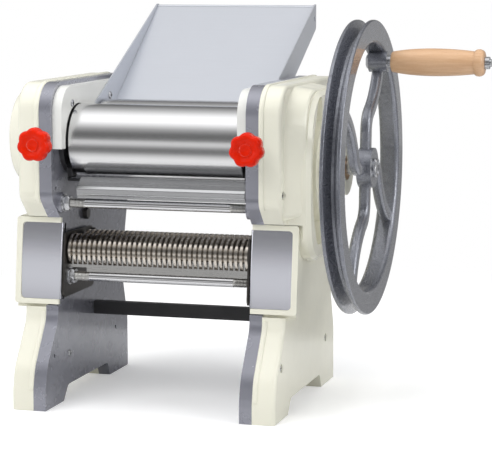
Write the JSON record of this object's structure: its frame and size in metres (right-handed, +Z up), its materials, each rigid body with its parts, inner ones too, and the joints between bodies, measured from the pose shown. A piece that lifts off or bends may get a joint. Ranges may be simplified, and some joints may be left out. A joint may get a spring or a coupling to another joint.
{
  "type": "hand-cranked noodle machine",
  "caption": "Hand-cranked noodle machine: two sheeting rollers over two slitting rollers between side frames, with a feed tray, gap knobs and a spoked hand wheel.",
  "frame": {"origin": "middle of the machine's box, on the table under it", "axes": "+X to the hand wheel, +Y to the feed tray at the back, +Z up"},
  "size_m": [0.4684, 0.3782, 0.4015],
  "materials": {
    "cream_plastic": "gloss moulded, ivory",
    "frame_paint": "satin blue-grey paint",
    "cap_plate_paint": "brushed grey plate under clear lacquer",
    "white_plastic": "gloss moulded, white",
    "roller_steel": "ground and hard chromed",
    "cutter_steel": "milled, oiled",
    "zinc_steel": "bright drawn and zinc plated",
    "dark_steel": "dark rolled sheet",
    "black_iron": "black satin paint",
    "tray_steel": "stainless sheet, brushed",
    "scraper_alloy": "extruded, mill finish",
    "gear_steel": "hobbed steel, greased",
    "bush_bronze": "turned bronze",
    "wheel_paint": "hammered grey paint on a casting",
    "beech_wood": "turned beech, lacquered",
    "red_plastic": "gloss moulded, orange-red"
  },
  "bodies": {
    "machine": {"left_side_frame": "frame_paint", "right_side_frame": "frame_paint", "left_cover": "cream_plastic", "right_cover": "cream_plastic", "left_cap_rim": "cream_plastic", "right_cap_rim": "cream_plastic", "left_cap_plate": "cap_plate_paint", "right_cap_plate": "cap_plate_paint", "left_dough_guide": "white_plastic", "right_dough_guide": "white_plastic", "upper_tie_rod": "zinc_steel", "lower_tie_rod": "zinc_steel", "rear_tie_rod": "zinc_steel", "tie_rod_nuts": "zinc_steel", "tie_rod_washers": "zinc_steel", "rear_cross_bar": "black_iron", "cross_bar_screws": "zinc_steel", "left_cover_screws": "zinc_steel", "right_cover_screws": "zinc_steel", "frame_screws": "zinc_steel", "cassette_bolts": "dark_steel", "left_cutter_end_plate": "dark_steel", "right_cutter_end_plate": "dark_steel", "front_comb": "tray_steel", "rear_comb": "tray_steel", "rear_scraper": "scraper_alloy", "feed_tray": "tray_steel", "tray_screws": "zinc_steel", "rear_roller_bushes": "black_iron", "idler_axle": "zinc_steel", "cutter_bushes": "bush_bronze", "adjusting_screw_collars": "zinc_steel", "drive_shaft_bushes": "bush_bronze"},
    "wheel": {"hand_wheel": "wheel_paint", "drive_shaft": "zinc_steel", "wheel_nut": "zinc_steel", "drive_pinion": "gear_steel", "crank_bolt": "zinc_steel", "crank_collar": "zinc_steel", "crank_nut": "zinc_steel"},
    "crank_grip": {"crank_grip": "beech_wood"},
    "rear_roller": {"rear_roller": "roller_steel", "rear_mesh_gear": "gear_steel", "rear_roller_gear": "gear_steel"},
    "roller_carriage": {"left_bearing_block": "black_iron", "right_bearing_block": "black_iron", "front_scraper": "scraper_alloy", "front_scraper_brackets": "black_iron"},
    "front_roller": {"front_roller": "roller_steel", "front_mesh_gear": "gear_steel"},
    "idler": {"idler_gear": "gear_steel"},
    "front_cutter": {"front_cutter": "cutter_steel", "front_cutter_gear": "gear_steel", "cutter_drive_gear": "gear_steel"},
    "rear_cutter": {"rear_cutter": "cutter_steel", "rear_cutter_gear": "gear_steel"},
    "left_knob": {"left_knob": "red_plastic", "left_adjusting_screw": "zinc_steel"},
    "right_knob": {"right_knob": "red_plastic", "right_adjusting_screw": "zinc_steel"}
  },
  "joints": [
    {"name": "wheel_spin", "type": "hinge", "parent": "machine", "child": "wheel", "pos_m": [-0.08425, -0.04205, 0.244], "axis": [1, 0, 0], "continuous": true},
    {"name": "grip_spin", "type": "hinge", "parent": "wheel", "child": "crank_grip", "pos_m": [-0.08425, 0.00836, 0.34736], "axis": [1, 0, 0], "continuous": true},
    {"name": "rear_roller_spin", "type": "hinge", "parent": "machine", "child": "rear_roller", "pos_m": [-0.08425, 0.00195, 0.268], "axis": [1, 0, 0], "continuous": true},
    {"name": "roller_gap", "type": "slide", "parent": "machine", "child": "roller_carriage", "axis": [0, -1, 0], "range_m": [0, 0.003]},
    {"name": "front_roller_spin", "type": "hinge", "parent": "roller_carriage", "child": "front_roller", "pos_m": [-0.08425, -0.07305, 0.268], "axis": [1, 0, 0], "continuous": true},
    {"name": "idler_spin", "type": "hinge", "parent": "machine", "child": "idler", "pos_m": [-0.08425, -0.05705, 0.1995], "axis": [1, 0, 0], "continuous": true},
    {"name": "front_cutter_spin", "type": "hinge", "parent": "machine", "child": "front_cutter", "pos_m": [-0.08425, -0.08305, 0.1555], "axis": [1, 0, 0], "continuous": true},
    {"name": "rear_cutter_spin", "type": "hinge", "parent": "machine", "child": "rear_cutter", "pos_m": [-0.08425, -0.05005, 0.1555], "axis": [1, 0, 0], "continuous": true},
    {"name": "left_knob_turn", "type": "hinge", "parent": "roller_carriage", "child": "left_knob", "pos_m": [-0.19325, -0.14305, 0.268], "axis": [0, -1, 0], "range_deg": [0, 720]},
    {"name": "right_knob_turn", "type": "hinge", "parent": "roller_carriage", "child": "right_knob", "pos_m": [0.02475, -0.14305, 0.268], "axis": [0, -1, 0], "range_deg": [0, 720]}
  ],
  "couplings": [
    {"joint": "rear_roller_spin", "follows": "wheel_spin", "ratio": -0.31579},
    {"joint": "front_roller_spin", "follows": "wheel_spin", "ratio": 0.31579},
    {"joint": "idler_spin", "follows": "wheel_spin", "ratio": -0.34286},
    {"joint": "front_cutter_spin", "follows": "wheel_spin", "ratio": 0.75},
    {"joint": "rear_cutter_spin", "follows": "wheel_spin", "ratio": -0.75},
    {"joint": "left_knob_turn", "follows": "roller_gap", "rad_per_m": 4188.8},
    {"joint": "right_knob_turn", "follows": "roller_gap", "rad_per_m": 4188.8}
  ]
}
